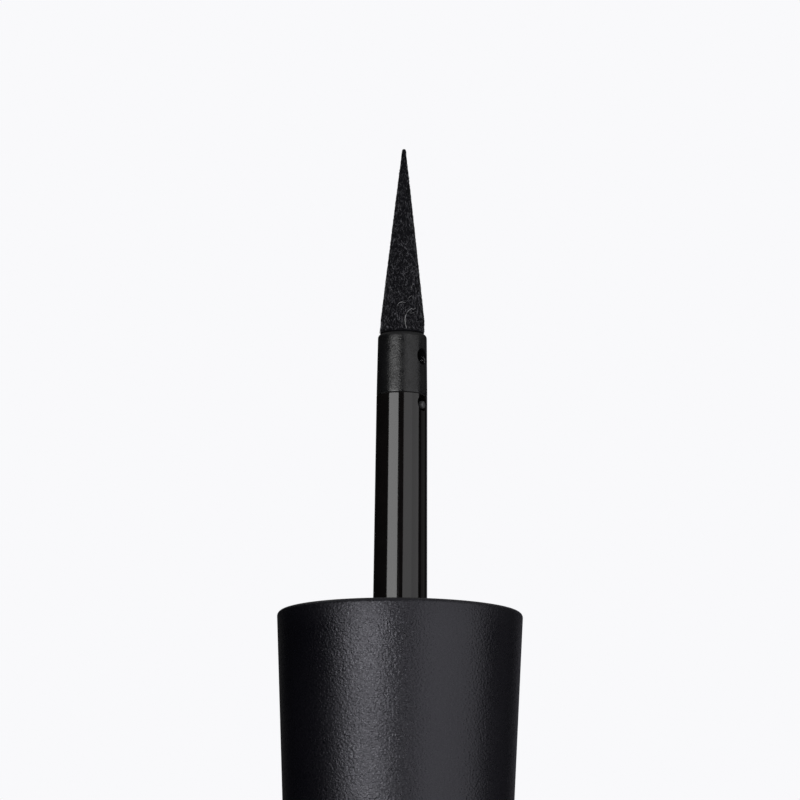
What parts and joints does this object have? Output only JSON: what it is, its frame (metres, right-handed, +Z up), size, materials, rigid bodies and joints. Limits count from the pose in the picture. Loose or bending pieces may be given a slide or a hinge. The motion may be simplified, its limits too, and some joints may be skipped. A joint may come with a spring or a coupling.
{
  "type": "liquid eyeliner bottle",
  "caption": "Liquid eyeliner, opened: a tapered screw cap stands on its closed end with its stem and conical felt tip pointing up, beside the open bottle with its threaded neck and wiper.",
  "frame": {"origin": "on the table, midway between the axis of the bottle and the axis of the cap standing beside it", "axes": "+Z up along both axes, +Y from the cap to the bottle, so looking along +Y sees the cap in front as pictured"},
  "size_m": [0.014, 0.034, 0.0791],
  "materials": {
    "satin_black": "fine spark-eroded satin texture",
    "gloss_black": "polished moulding",
    "ferrule_black": "half gloss with traces of dried liner",
    "felt": "dense fibre felt soaked with liner",
    "liner_black": "plain moulding",
    "foam": "closed-cell foam",
    "wiper": "soft natural polyethylene",
    "steel": "polished steel"
  },
  "bodies": {
    "bottle": {"bottle_shell": "satin_black", "vial": "gloss_black", "wiper": "wiper", "base_plug": "liner_black"},
    "mixing_ball": {"mixing_ball": "steel"},
    "applicator": {"cap_shell": "satin_black", "inner_cap": "liner_black", "seal_washer": "foam", "stem": "gloss_black", "ferrule": "ferrule_black", "felt_tip": "felt"}
  },
  "joints": [
    {"name": "applicator_lift", "type": "slide", "parent": "bottle", "child": "applicator", "axis": [0, 0, 1], "range_m": [0, 0.055]},
    {"name": "ball_travel", "type": "slide", "parent": "bottle", "child": "mixing_ball", "axis": [0, 0, 1], "range_m": [0, 0.034]}
  ]
}
